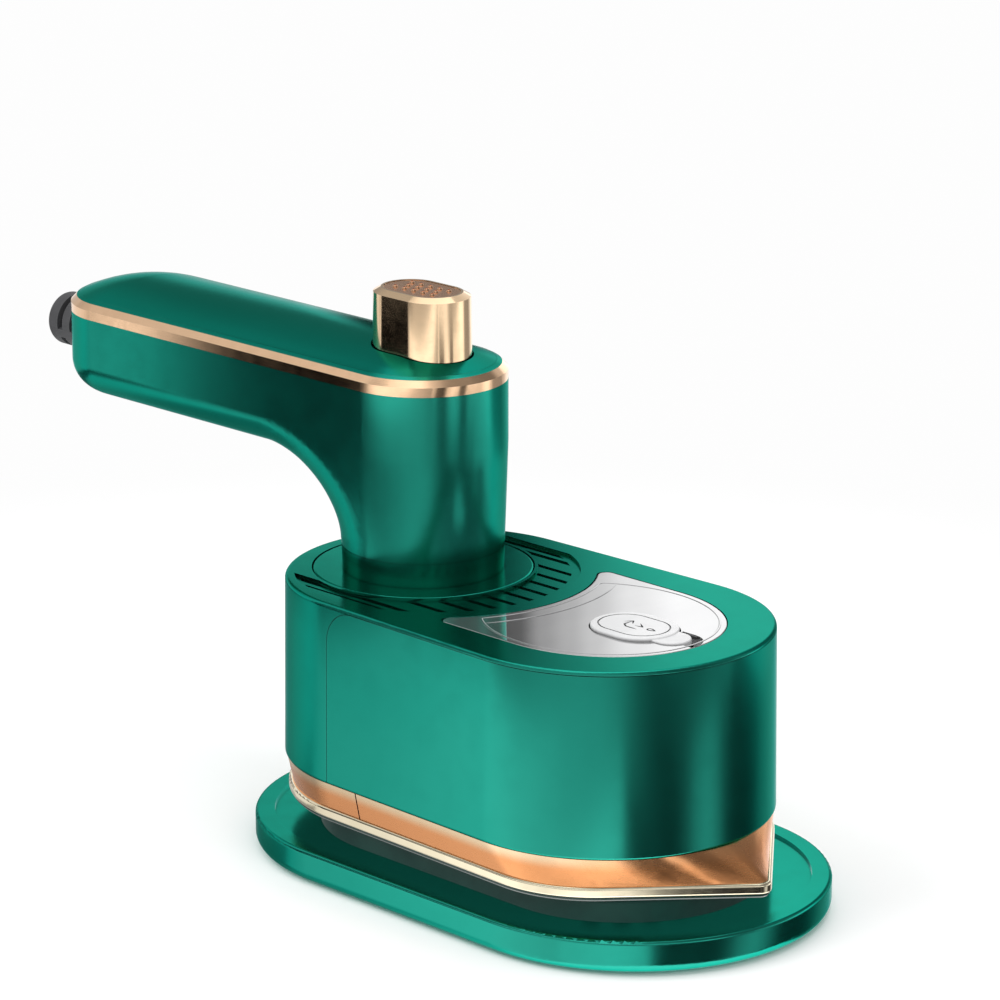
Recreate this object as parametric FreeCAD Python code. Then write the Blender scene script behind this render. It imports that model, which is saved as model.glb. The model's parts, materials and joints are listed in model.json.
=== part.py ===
import FreeCAD, Part
import os
import math

os.makedirs("parts", exist_ok=True)
V = FreeCAD.Vector

# Handheld steam iron with a swivelling handle, resting on its tray.
# Millimetres. +Z up, +X toward the pointed tip of the sole, origin on the
# swivel axis of the handle, in the plane that the tray's feet stand on.

# ------------------------------------------------------- driving dimensions
# body outline: two circles joined by tangent lines
XR, XF = 6.5, 58.5             # rear and front circle centres
R_REAR, R_FRONT = 36.0, 37.33  # radii at the top of the body
FLARE = 0.48                   # how much wider the body is at its lower edge
Z_BODY0, Z_DECK = 21.7, 64.0   # lower edge of the body, deck
WALL, DECK_T = 2.4, 3.2

# sole
Z_SOLE = 12.2
Z_LIP0, Z_LIP1 = 13.2, 15.5
LIP_IN = 0.8                   # lip set in from the body outline
LIP_ARC = 28.0                 # radius between side and oblique flank
LIP_ANG = 49.0                 # slope of the oblique flank to the X axis
NOSE_R, TIP_X = 3.0, 107.2

# swivel
DISC_R, DISC_T = 25.3, 2.1
HUB_R = 13.84

# handle
NECK_R0, GRIP_W = 18.5, 19.5   # neck radius at the deck, half width of the grip
NECK_TOP = 94.0                # where the neck reaches its full radius
TAIL_X = -94.0                 # centre of the round tail end
Z_GRIP0, Z_BAND0, Z_COVER = 89.0, 108.6, 112.2
GRIP_ROUND, H_WALL = 8.0, 2.3
BOOT_R, Z_BOOT = 6.5, 100.6    # cord boot radius and height of the cord axis

SIDES = (-1, 1)
SELECT_TOL = 0.02              # height tolerance when picking edges
ROUND_MID = 1 - math.cos(math.pi / 4)  # inset of a quarter round's middle, per radius


# ------------------------------------------------------------ basic shapes
def arc(start, middle, end):
    return Part.Arc(V(*start), V(*middle), V(*end)).toShape()


def line(start, end):
    return Part.makeLine(V(*start), V(*end))


def face(edges):
    return Part.Face(Part.Wire(edges))


def cylinder(x, y, radius, z0, z1):
    return Part.makeCylinder(radius, z1 - z0, V(x, y, z0))


def cylinder_x(z, radius, x0, x1):
    """Cylinder along X, in the middle plane."""
    return Part.makeCylinder(radius, x1 - x0, V(x0, 0, z), V(1, 0, 0))


def cylinder_y(x, y, z, radius, length):
    return Part.makeCylinder(radius, length, V(x, y, z), V(0, 1, 0))


def box(x0, x1, y0, y1, z0, z1):
    return Part.makeBox(x1 - x0, y1 - y0, z1 - z0, V(x0, y0, z0))


def polar(radius, degrees):
    a = math.radians(degrees)
    return radius * math.cos(a), radius * math.sin(a)


def drill(shape, points, radius, z0, z1):
    """Cut an upright hole at each (x, y)."""
    for x, y in points:
        shape = shape.cut(cylinder(x, y, radius, z0, z1))
    return shape


def add_posts(shape, points, radius, z0, z1):
    """Fuse an upright post at each (x, y)."""
    for x, y in points:
        shape = shape.fuse(cylinder(x, y, radius, z0, z1))
    return shape


def ruled_solid(low, high):
    """Solid between two stacked outlines with matching edges."""
    faces = [Part.makeRuledSurface(a, b) for a, b in zip(low, high)]
    faces += [face(low), face(high)]
    shell = Part.Shell(faces)
    if not shell.isClosed():
        shell = shell.copy()
        shell.sewShape()
    solid = Part.Solid(shell)
    if solid.Volume < 0:
        solid.reverse()
    return solid


def racetrack_edges(x1, x2, radius, z):
    return [
        arc((x1, radius, z), (x1 - radius, 0, z), (x1, -radius, z)),
        line((x1, -radius, z), (x2, -radius, z)),
        arc((x2, -radius, z), (x2 + radius, 0, z), (x2, radius, z)),
        line((x2, radius, z), (x1, radius, z)),
    ]


def racetrack(x1, x2, radius, z0, z1):
    """Upright solid with round ends centred at x1 and x2."""
    return face(racetrack_edges(x1, x2, radius, z0)).extrude(V(0, 0, z1 - z0))


def oval(x, half_length, half_width, z0, z1):
    """Racetrack given by its centre and half sizes."""
    reach = half_length - half_width
    return racetrack(x - reach, x + reach, half_width, z0, z1)


def oval_taper(x, length0, width0, z0, length1, width1, z1):
    """Oval whose half sizes change from z0 to z1."""
    reach0, reach1 = length0 - width0, length1 - width1
    return ruled_solid(racetrack_edges(x - reach0, x + reach0, width0, z0),
                       racetrack_edges(x - reach1, x + reach1, width1, z1))


def edges_at(shape, z):
    """Edges lying flat at height z."""
    return [e for e in shape.Edges
            if abs(e.BoundBox.ZMin - z) < SELECT_TOL and abs(e.BoundBox.ZMax - z) < SELECT_TOL]


def outer_edges_at(shape, z):
    """The edges of the longest closed loop lying at height z."""
    pool = edges_at(shape, z)
    loop = max(Part.sortEdges(pool), key=lambda group: sum(e.Length for e in group))

    def in_loop(edge):
        return any(abs(edge.Length - other.Length) < 1e-6 and
                   (edge.CenterOfMass - other.CenterOfMass).Length < 1e-6 for other in loop)
    return [e for e in pool if in_loop(e)]


def sweep(wire, radius, start, axis):
    """Round bar along a wire that begins at start, heading along axis."""
    profile = Part.Wire([Part.makeCircle(radius, start, axis)])
    return wire.makePipeShell([profile], True, True)


def tube(points, bend_radii, radius, bore=None):
    """Bent round bar or hose: straight runs joined by bends of the given radii."""
    p = [V(*point) for point in points]
    edges, last = [], p[0]
    for k in range(1, len(p) - 1):
        before = (p[k] - p[k - 1]).normalize()
        after = (p[k + 1] - p[k]).normalize()
        half = before.getAngle(after) / 2.0
        bend = bend_radii[k - 1]
        setback = bend * math.tan(half)
        start, end = p[k] - before * setback, p[k] + after * setback
        middle = p[k] + (after - before).normalize() * (bend * (1 / math.cos(half) - 1))
        edges += [Part.makeLine(last, start), Part.Arc(start, middle, end).toShape()]
        last = end
    edges.append(Part.makeLine(last, p[-1]))
    wire, axis = Part.Wire(edges), p[1] - p[0]
    solid = sweep(wire, radius, p[0], axis)
    if bore:
        solid = solid.cut(sweep(wire, bore, p[0], axis))
    return solid


def screw(x, y, z_head, z_tip, radius=1.5, head_r=2.8, head_h=2.0):
    """Pan-head cross-recess screw; z_head is the seat of the head, z_tip the far end."""
    up = z_tip > z_head
    z0, z1 = (z_head - head_h, z_head) if up else (z_head, z_head + head_h)
    head = cylinder(x, y, head_r, z0, z1)
    head = head.makeFillet(0.6, edges_at(head, z0 if up else z1))
    recess = (z0 - 0.01, z0 + 0.9) if up else (z1 - 0.9, z1 + 0.01)
    arm, half = 1.8, 0.4
    head = head.cut(box(x - arm, x + arm, y - half, y + half, *recess))
    head = head.cut(box(x - half, x + half, y - arm, y + arm, *recess))
    shank = cylinder(x, y, radius, min(z_head, z_tip), max(z_head, z_tip))
    return head.fuse(shank).removeSplitter()


def save(name, shape):
    """Write the solids of a shape, or of a list of shapes, to one STEP file."""
    shapes = shape if isinstance(shape, list) else [shape]
    solids = [solid for item in shapes for solid in item.Solids]
    result = solids[0] if len(solids) == 1 else Part.makeCompound(solids)
    result.exportStep("parts/" + name + ".step")


# ---------------------------------------------------------- shared outlines
BODY_LEAN = math.asin((R_FRONT - R_REAR) / (XF - XR))  # slope of the body's sides


def body_edges(grow, z, cuts=()):
    """Body outline widened by grow; cuts are angles that divide the front arc."""
    lean = math.degrees(BODY_LEAN)
    r_rear, r_front = R_REAR + grow, R_FRONT + grow
    near, far = -90.0 - lean, 90.0 + lean

    def at(x, radius, degrees):
        dx, y = polar(radius, degrees)
        return x + dx, y, z

    def arc_between(x, radius, a0, a1):
        return arc(at(x, radius, a0), at(x, radius, (a0 + a1) / 2.0), at(x, radius, a1))

    stops = [near, *cuts, far]
    return [
        arc_between(XR, r_rear, far, 360.0 + near),
        line(at(XR, r_rear, near), at(XF, r_front, near)),
        *[arc_between(XF, r_front, a0, a1) for a0, a1 in zip(stops, stops[1:])],
        line(at(XF, r_front, far), at(XR, r_rear, far)),
    ]


def body_solid(inset, z0, z1):
    """The tapering body, set in by inset, between two heights."""
    def outline(z):
        return body_edges(FLARE * (Z_DECK - z) / (Z_DECK - Z_BODY0) - inset, z)
    return ruled_solid(outline(z0), outline(z1))


def lip_edges(inset, z):
    """Pointed outline of the sole, set in by inset: eight edges.

    It is worked out on the -Y side, then mirrored.
    """
    r_rear = R_REAR + FLARE - LIP_IN - inset
    side = V(math.cos(BODY_LEAN), -math.sin(BODY_LEAN), 0)
    side_start = V(XR, 0, z) + V(side.y, -side.x, 0) * r_rear

    slope = math.radians(LIP_ANG)
    flank = V(math.cos(slope), math.sin(slope), 0)
    nose_r = max(NOSE_R - inset, 0.6)
    nose_x = TIP_X - NOSE_R + (NOSE_R - inset - nose_r) / math.sin(slope)
    flank_end = V(nose_x, 0, z) + V(flank.y, -flank.x, 0) * nose_r

    # round the corner where side and flank would meet
    along = (flank_end - side_start).cross(flank).z / side.cross(flank).z
    corner = side_start + side * along
    radius = LIP_ARC - inset
    setback = radius * math.tan(side.getAngle(flank) / 2.0)
    side_end = corner - side * setback
    flank_start = corner + flank * setback
    centre = side_end + V(-side.y, side.x, 0) * radius
    middle = centre + (corner - centre).normalize() * radius

    def mirror(p):
        return V(p.x, -p.y, p.z)
    return [
        arc(mirror(side_start), (XR - r_rear, 0, z), side_start),
        line(side_start, side_end),
        arc(side_end, middle, flank_start),
        line(flank_start, flank_end),
        arc(flank_end, (nose_x + nose_r, 0, z), mirror(flank_end)),
        line(mirror(flank_end), mirror(flank_start)),
        arc(mirror(flank_start), mirror(middle), mirror(side_end)),
        line(mirror(side_end), mirror(side_start)),
    ]


def lip_solid(inset, z0, z1):
    return face(lip_edges(inset, z0)).extrude(V(0, 0, z1 - z0))


# --------------------------------------------------------------------- tray
TRAY_XR, TRAY_XF, TRAY_R = 8.0, 66.5, 44.5
Z_TRAY0, Z_TRAY1, Z_FLOOR = 0.5, 8.0, 6.8
RIM = 4.5
Z_UNDER = 3.2                # roof of the hollow underside
RIB_X, RIB_HALF = (8.0, 37.2, 66.5), 0.9
FEET = [(0.0, 0.0), (10.0, -28.0), (10.0, 28.0), (64.5, -28.0), (64.5, 28.0)]
FOOT_R, FOOT_TOP = 5.0, 1.6
PAD_XR, PAD_XF, PAD_R = 12.0, 63.5, 32.0
PAD_SINK = 1.2               # depth of the pad's seat in the tray floor
GROOVE_PITCH, GROOVE_HALF = 9.0, 1.2


def tray_base():
    """Dished tray, ribbed underneath, with seats for pad and feet."""
    tray = racetrack(TRAY_XR, TRAY_XF, TRAY_R, Z_TRAY0, Z_TRAY1)
    tray = tray.makeFillet(2.6, outer_edges_at(tray, Z_TRAY0))
    tray = tray.makeFillet(0.9, outer_edges_at(tray, Z_TRAY1))
    tray = tray.cut(racetrack(TRAY_XR, TRAY_XF, TRAY_R - RIM, Z_FLOOR, Z_TRAY1 + 1))
    tray = tray.cut(racetrack(PAD_XR, PAD_XF, PAD_R + 0.1, Z_FLOOR - PAD_SINK, Z_FLOOR + 1))
    hollow = racetrack(TRAY_XR, TRAY_XF, TRAY_R - 6.5, Z_TRAY0 - 1, Z_UNDER)
    for x in RIB_X:
        hollow = hollow.cut(box(x - RIB_HALF, x + RIB_HALF, -40, 40, Z_TRAY0, Z_UNDER))
    hollow = hollow.cut(box(-32, 106, -RIB_HALF, RIB_HALF, Z_TRAY0, Z_UNDER))
    hollow = drill(hollow, FEET, 7.0, Z_TRAY0, Z_UNDER)
    tray = tray.cut(hollow)
    return drill(tray, FEET, FOOT_R + 0.05, Z_TRAY0 - 1, FOOT_TOP).removeSplitter()


def tray_feet():
    feet = [cylinder(x, y, FOOT_R, 0.0, FOOT_TOP) for x, y in FEET]
    return [foot.makeFillet(0.35, edges_at(foot, 0.0)) for foot in feet]


def tray_rest_pad():
    """Pad under the sole, with nine grooves across its top."""
    pad = racetrack(PAD_XR, PAD_XF, PAD_R, Z_FLOOR - PAD_SINK, Z_SOLE)
    pad = pad.makeFillet(1.2, outer_edges_at(pad, Z_SOLE))
    for i in range(-4, 5):
        x = (PAD_XR + PAD_XF) / 2.0 + i * GROOVE_PITCH
        pad = pad.cut(box(x - GROOVE_HALF, x + GROOVE_HALF, -24.0, 24.0, 11.2, 13.0))
    return pad


# --------------------------------------------------------------------- sole
BOSSES = [(-10.0, 0.0), (80.0, 0.0), (33.0, -19.0), (33.0, 19.0)]
XH = 60.0                    # front centre of the heater bend and chamber
HEATER_R, HEATER_OFF, Z_HEATER = 2.6, 29.8, 19.0
HEATER_GAP = 0.03
CHAMBER_R, Z_CHAMBER0 = 24.5, 16.4   # inside of the steam chamber
Z_GASKET, Z_PLATE0, Z_PLATE1 = 24.0, 24.6, 25.8
LID_R = 26.9                 # outline of gasket and chamber cover
BORE_R = 1.55                # pilot holes of the 3 mm screws
CLEAR_R = 1.6                # clearance holes of the 3 mm screws
OUTLET_R, SINK_R = 1.3, 2.3
STEAM_OUTLETS = (
    [(XH + dx, y) for dx, y in (polar(20.5, a) for a in (-58, -39, -20, 0, 20, 39, 58))]
    + [(x, y) for x in (52.0, 38.0, 24.0, 10.0) for y in (-13.0, 13.0)]
    + [(x, 0.0) for x in (66.0, 45.0, 31.0, 17.0)])


def heater_path(radius):
    """U-shaped bar, open toward the rear."""
    y, z = HEATER_OFF, Z_HEATER
    wire = Part.Wire([line((XR, -y, z), (XH, -y, z)),
                      arc((XH, -y, z), (XH + y, 0, z), (XH, y, z)),
                      line((XH, y, z), (XR, y, z))])
    return sweep(wire, radius, V(XR, -y, z), V(1, 0, 0))


def heater_end(side, radius):
    return Part.makeSphere(radius, V(XR, side * HEATER_OFF, Z_HEATER))


def soleplate():
    """Sole with heater groove, steam chamber, screw bosses and steam outlets."""
    sole = lip_solid(0.5, Z_SOLE, Z_LIP0)
    sole = sole.makeChamfer(0.4, outer_edges_at(sole, Z_SOLE))
    sole = sole.fuse(lip_solid(2.8, Z_SOLE + 0.5, 15.4))
    sole = sole.fuse(racetrack(XR, XH, 32.6, 15.0, Z_HEATER))
    chamber = racetrack(XR, XH, CHAMBER_R, Z_CHAMBER0, 30.0)
    sole = sole.cut(chamber)
    sole = sole.fuse(racetrack(XR, XH, 27.0, 17.0, Z_GASKET).cut(chamber))
    sole = add_posts(sole, BOSSES, 3.8, 16.0, Z_GASKET)
    sole = drill(sole, BOSSES, BORE_R, 17.0, 25.0)
    sole = sole.cut(heater_path(HEATER_R + HEATER_GAP))
    for side in SIDES:
        sole = sole.cut(heater_end(side, HEATER_R + HEATER_GAP))
    for x, y in STEAM_OUTLETS:
        sole = sole.cut(cylinder(x, y, OUTLET_R, Z_SOLE - 1, 17.5))
        sole = sole.cut(Part.makeCone(SINK_R, OUTLET_R, 1.0, V(x, y, Z_SOLE)))
    return sole.removeSplitter()


def sole_trim_lip():
    lip = lip_solid(0.0, Z_LIP0, Z_LIP1)
    lip = lip.makeFillet(0.7, outer_edges_at(lip, Z_LIP1))
    lip = lip.makeFillet(0.45, outer_edges_at(lip, Z_LIP0))
    return lip.cut(lip_solid(2.7, Z_LIP0 - 1, Z_LIP1 + 1))


SKIRT_IN = 0.9               # skirt set in from the lip
X_SKIRT_SEAM, SKIRT_GAP = 15.7, 0.4


def skirt_solid(inset_low, inset_high, z0, z1):
    """Smooth transition from the pointed sole to the round lower edge of the body.

    The round front is divided in the same proportions as the pointed outline below it,
    so neighbouring strips meet without a crease.
    """
    low = lip_edges(inset_low, z0)
    shoulder, flank, nose = low[2].Length, low[3].Length, low[4].Length / 2.0
    share = (90.0 + math.degrees(BODY_LEAN)) / (nose + flank + shoulder)
    a, b = nose * share, (nose + flank) * share
    return ruled_solid(low, body_edges(FLARE - inset_high, z1, cuts=(-b, -a, a, b)))


def skirt():
    outside = skirt_solid(SKIRT_IN, 0.35, Z_LIP1, Z_BODY0)
    return outside.cut(skirt_solid(SKIRT_IN + 2.0, 2.6, Z_LIP1 - 0.001, Z_BODY0 + 0.001))


def skirt_front():
    return skirt().common(box(X_SKIRT_SEAM + SKIRT_GAP / 2, 130, -60, 60, 0, 40))


def skirt_rear():
    return skirt().common(box(-60, X_SKIRT_SEAM - SKIRT_GAP / 2, -60, 60, 0, 40))


def heating_element():
    """Heater bar with round ends and two upright terminals."""
    heater = heater_path(HEATER_R)
    for side in SIDES:
        heater = heater.fuse(heater_end(side, HEATER_R))
        heater = heater.fuse(cylinder(XR, side * HEATER_OFF, 1.4, Z_HEATER, 31.0))
    return heater.removeSplitter()


def chamber_gasket():
    """Flat ring with webs to a washer on each boss."""
    gasket = racetrack(XR, XH, LID_R, Z_GASKET, Z_PLATE0)
    gasket = gasket.cut(racetrack(XR, XH, 24.6, 23.0, 25.0))
    gasket = add_posts(gasket, BOSSES, 3.7, Z_GASKET, Z_PLATE0)
    # x0, x1, y0, y1 of each web
    for web in ((-18.5, -12.0, -1.0, 1.0), (82.0, 85.0, -1.0, 1.0),
                (32.0, 34.0, 21.0, 25.0), (32.0, 34.0, -25.0, -21.0)):
        gasket = gasket.fuse(box(*web, Z_GASKET, Z_PLATE0))
    return drill(gasket, BOSSES, CLEAR_R, 23.0, 25.0)


# -------------------------------------------- on and above the steam chamber
NOZZLE = (24.0, 12.0)
THERMO_X = 4.5
FUSE_X, FUSE_Z = 48.0, 27.8
Z_SHIELD0, Z_SHIELD1 = 36.0, 37.6
HOUSING_POSTS = [(-14.0, -20.0), (-14.0, 20.0), (30.0, -29.3), (30.0, 29.3)]


def steam_chamber_cover():
    cover = racetrack(XR, XH, LID_R, Z_PLATE0, Z_PLATE1)
    return drill(cover, BOSSES + [NOZZLE], CLEAR_R, 24.0, 27.0)


def steam_inlet_nozzle():
    """Flanged upright nozzle with two barbs."""
    nozzle = cylinder(*NOZZLE, 4.6, Z_PLATE1, 28.0).fuse(cylinder(*NOZZLE, 2.3, 28.0, 42.0))
    for z in (38.0, 40.0):
        nozzle = nozzle.fuse(Part.makeCone(2.45, 2.0, 1.6, V(*NOZZLE, z)))
    return nozzle.cut(cylinder(*NOZZLE, 1.2, 25.0, 43.0))


def thermostat():
    """Stepped round can with two pierced upright tabs."""
    z_step = 30.6
    body = cylinder(THERMO_X, 0, 7.5, Z_PLATE1, z_step)
    body = body.makeFillet(0.8, edges_at(body, z_step))
    body = body.fuse(cylinder(THERMO_X, 0, 5.0, 30.0, 32.4))
    for side in SIDES:
        y = side * 4.2
        tab = box(THERMO_X - 2.4, THERMO_X + 2.4, y - 0.4, y + 0.4, 30.0, 35.0)
        body = body.fuse(tab.cut(cylinder_y(THERMO_X, y - 2, 33.6, 0.8, 4)))
    return body.removeSplitter()


def thermal_fuse():
    """Small barrel across the chamber cover, with a lead at each end."""
    barrel = cylinder_y(FUSE_X, -6.5, FUSE_Z, 2.0, 13.0)
    # edges 0 and 2 are the end circles, edge 1 is the seam
    barrel = barrel.makeFillet(0.5, [barrel.Edges[0], barrel.Edges[2]])
    return barrel.fuse(cylinder_y(FUSE_X, -10.5, FUSE_Z, 0.5, 21.0)).removeSplitter()


def sole_standoffs():
    return [cylinder(x, y, 3.4, Z_PLATE1, Z_SHIELD0).cut(cylinder(x, y, CLEAR_R, 25.0, 37.0))
            for x, y in BOSSES]


def heat_shield():
    """Plate across the body, with screw holes, two round openings and three cross slots."""
    z0, z1 = Z_SHIELD0 - 1, 39
    shield = body_solid(WALL + 0.25, Z_SHIELD0, Z_SHIELD1)
    shield = drill(shield, [NOZZLE], 4.6, z0, z1)
    shield = drill(shield, [(-4.0, 0.0)], 6.0, z0, z1)
    shield = drill(shield, BOSSES + HOUSING_POSTS, CLEAR_R, z0, z1)
    half = 2.2
    for x in (46.0, 60.0, 72.0):
        slot = cylinder(x, 0, half, z0, z1).fuse(box(x - half, x + half, -9, 9, z0, z1))
        shield = shield.cut(slot)
    return shield


def sole_screws():
    return [screw(x, y, Z_SHIELD1, 17.4) for x, y in BOSSES]


def shield_screws():
    return [screw(x, y, Z_SHIELD0, 47.0) for x, y in HOUSING_POSTS]


# --------------------------------------------------------------------- body
SEAM_X, SEAM_GAP, SEAM_R = 6.5, 0.16, 8.0   # rear edge of the wrap-around front panel
Z_SEAM = 63.0                               # upper edge of that panel
PANEL_T = 1.3
POCKET_X, POCKET_R, POCKET_D = 4.7, 32.7, 0.7
SLOT_PITCH, SLOT_W, SLOT_D = 5.04, 1.5, 1.6
Z_LENS0 = 62.2
ABOVE_DECK = Z_DECK + 5                     # where cuts into the deck end


def body_blank():
    body = body_solid(0.0, Z_BODY0, Z_DECK)
    body = body.makeFillet(0.95, outer_edges_at(body, Z_DECK))
    return body.makeFillet(0.7, outer_edges_at(body, Z_BODY0))


def panel_zone(body, thickness, grow):
    """Outer layer of the body within the panel's side view, widened by grow."""
    x0, z1, r = SEAM_X - grow, Z_SEAM + grow, SEAM_R + grow
    x1, y, z0 = 140, -60, 10
    side_view = face([
        line((x0, y, z0), (x0, y, z1 - r)),
        arc((x0, y, z1 - r), (x0 + r * ROUND_MID, y, z1 - r * ROUND_MID), (x0 + r, y, z1)),
        line((x0 + r, y, z1), (x1, y, z1)),
        line((x1, y, z1), (x1, y, z0)),
        line((x1, y, z0), (x0, y, z0))])
    layer = body.cut(body_solid(thickness, Z_BODY0 - 0.5, Z_DECK + 2))
    return layer.common(side_view.extrude(V(0, -2 * y, 0)))


def front_wrap_panel():
    return panel_zone(body_blank(), PANEL_T, 0.0)


def deck_pocket():
    """Shallow crescent in front of and beside the swivel disc."""
    pocket = cylinder(POCKET_X, 0, POCKET_R, Z_DECK - POCKET_D, ABOVE_DECK)
    pocket = pocket.cut(cylinder(0, 0, DISC_R + 0.9, 50, 80))
    pocket = pocket.cut(box(-60, 0.0, -DISC_R + 0.3, DISC_R - 0.3, 50, 80))
    return pocket.common(box(-17.5, 60, -30.2, 30.2, 50, 80))


def deck_slots():
    """Narrow slots along X in the floor of the crescent."""
    z0 = Z_DECK - SLOT_D - POCKET_D
    zone = cylinder(POCKET_X - 0.7, 0, POCKET_R - 1.6, z0, ABOVE_DECK)
    zone = zone.cut(cylinder(0, 0, DISC_R + 1.1, 50, 80))
    middles = [k * SLOT_PITCH for k in range(-4, 5)]
    # x0, y0, y1 of each slot
    spans = [(2.0, y - SLOT_W / 2, y + SLOT_W / 2) for y in middles]
    spans += [(-16.8, 25.1, 26.7), (-16.8, -26.7, -25.1), (-9.3, 27.9, 29.2), (-9.3, -29.2, -27.9)]
    return [box(x0, 60, y0, y1, z0, ABOVE_DECK).common(zone) for x0, y0, y1 in spans]


def lens_prism(inset, z0, z1, rounding=2.2):
    """Window outline: elliptical front, concave rear edge, rounded rear corners."""
    half_length, half_width, x_centre = 29.5 - inset, 26.7 - inset, 56.2
    r_rear, x_rear = 35.8 + inset, 5.5
    x_corner = x_rear + math.sqrt(r_rear ** 2 - half_width ** 2)
    ellipse = Part.Ellipse(V(x_centre, 0, z0), half_length, half_width)
    prism = face([
        line((x_corner, -half_width, z0), (x_centre, -half_width, z0)),
        Part.Arc(ellipse, -math.pi / 2, math.pi / 2).toShape(),
        line((x_centre, half_width, z0), (x_corner, half_width, z0)),
        arc((x_corner, half_width, z0), (x_rear + r_rear, 0, z0), (x_corner, -half_width, z0)),
    ]).extrude(V(0, 0, z1 - z0))
    corners = [e for e in prism.Edges
               if abs(e.BoundBox.ZLength - (z1 - z0)) < 0.01 and e.BoundBox.XMin < 38
               and e.BoundBox.DiagonalLength < (z1 - z0) + 0.1]
    return prism.makeFillet(rounding, corners)


def main_housing():
    """Body shell with its deck, cut for the panel, the swivel and the window."""
    body = body_blank()
    house = body.cut(body_solid(WALL, Z_BODY0 - 0.5, Z_DECK - DECK_T))
    house = house.cut(panel_zone(body, PANEL_T + 0.04, SEAM_GAP))
    # under-deck ring that carries the swivel
    ring = cylinder(0, 0, 27.5, 58.6, Z_DECK - DECK_T + 0.5)
    house = house.fuse(ring.common(body_solid(1.5, 50, 62)))
    for x, y in HOUSING_POSTS:
        post = cylinder(x, y, 3.6, Z_SHIELD1, 61.5)
        house = house.fuse(post.common(body_solid(1.6, 30, 62)))
    house = drill(house, HOUSING_POSTS, BORE_R, 30, 48.0)
    # seat of the swivel disc and bore of its hub
    house = house.cut(cylinder(0, 0, DISC_R + 0.25, Z_DECK - DISC_T - 0.1, ABOVE_DECK))
    house = house.cut(cylinder(0, 0, HUB_R + 0.06, 50, 70))
    house = house.cut(deck_pocket())
    for slot in deck_slots():
        house = house.cut(slot)
    house = house.cut(lens_prism(0.0, Z_LENS0, Z_DECK + 3))
    house = house.cut(lens_prism(1.8, 55.0, Z_DECK + 3, 1.5))
    return house.removeSplitter()


# filler plug
PLUG_X, PLUG_A, PLUG_B = 66.9, 10.4, 8.3    # lid centre, half length, half width
TAB_R = 4.4
TAB_X = 82.3 - TAB_R                        # centre of the finger tab's round end
STOPPER_X = 66.0


def window_lens():
    """Window with the filler opening and a finger gap beside the tab."""
    lens = lens_prism(0.12, Z_LENS0, Z_DECK)
    lens = lens.makeFillet(0.4, outer_edges_at(lens, Z_DECK))
    opening = oval(PLUG_X, PLUG_A + 0.3, PLUG_B + 0.3, 55, 70)
    opening = opening.fuse(racetrack(PLUG_X, TAB_X + 0.3, TAB_R + 0.3, 55, 70))
    gap = racetrack(PLUG_X + 4.0, TAB_X + 1.6, TAB_R + 1.4, Z_DECK - 1.4, 70)
    gap = gap.common(box(76.0, 95, -1.5, 20, 50, 80))
    return lens.cut(opening).cut(gap)


def filler_plug():
    """Lid with a forward finger tab, a tapered stopper and a fine line in its top."""
    z_lid, z_tab = 64.7, 64.4
    plug = oval(PLUG_X, PLUG_A, PLUG_B, 62.5, z_lid)
    plug = plug.makeFillet(0.45, edges_at(plug, z_lid))
    tab = racetrack(PLUG_X, TAB_X, TAB_R, 62.9, z_tab)
    plug = plug.fuse(tab.makeFillet(0.4, edges_at(tab, z_tab)))
    plug = plug.fuse(oval_taper(STOPPER_X, 4.3, 2.8, 59.6, 5.5, 4.0, 62.6))
    x_line = PLUG_X - 0.2
    groove = oval(x_line, 8.8, 6.3, 64.4, 66).cut(oval(x_line, 8.4, 5.9, 64, 67))
    return plug.cut(groove).removeSplitter()


# ------------------------------------------------------------- water system
Z_OUTLET = 45.5              # tank outlet
Z_INLET = 49.6               # joint's front port
Z_FEED = 46.8                # joint's +Y port
STEM_BORE = 3.06


def water_tank():
    """Hollow tank with a filler neck on top and an outlet stub at its rear."""
    z0, z1, x_rear, wall = 41.0, 60.6, 37.0, 1.6
    z0_in, z1_in = z0 + wall, z1 - wall
    tank = body_solid(WALL + 0.5, z0, z1).common(box(x_rear, 120, -60, 60, 40, 61))
    hollow = body_solid(WALL + 0.5 + wall, z0_in, z1_in)
    tank = tank.cut(hollow.common(box(x_rear + wall, 120, -60, 60, z0_in, z1_in)))
    tank = tank.fuse(oval(STOPPER_X, 6.9, 5.4, z1_in, 62.1))
    tank = tank.cut(oval(STOPPER_X, 5.75, 4.2, 50, 70))
    tank = tank.fuse(cylinder_x(Z_OUTLET, 2.4, 31.0, 38.0))
    return tank.cut(cylinder_x(Z_OUTLET, 1.4, 30.0, 40.0)).removeSplitter()


def rotary_water_joint():
    """Cup on the swivel axis with front and +Y ports, and a rear arm with a post."""
    z0, port_r, port_bore = 44.0, 2.4, 1.3
    stem_bore = cylinder(0, 0, STEM_BORE, 48.5, 57.0)
    joint = cylinder(0, 0, 5.5, z0, 56.0).cut(stem_bore)
    joint = joint.cut(cylinder(0, 0, 1.4, 46.0, 50.0))
    joint = joint.fuse(cylinder_x(Z_INLET, port_r, 4.6, 11.0))
    joint = joint.fuse(cylinder_y(0, 4.6, Z_FEED, port_r, 6.4))
    joint = joint.cut(cylinder_x(Z_INLET, port_bore, 2.0, 12.0))
    joint = joint.cut(cylinder_y(0, 0, Z_FEED, port_bore, 12))
    joint = joint.cut(stem_bore)
    joint = joint.fuse(box(-22.6, -4.5, -2.0, 2.0, z0, 47.0))
    return joint.fuse(cylinder(-22.6, 0, 2.4, z0, 58.6)).removeSplitter()


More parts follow.
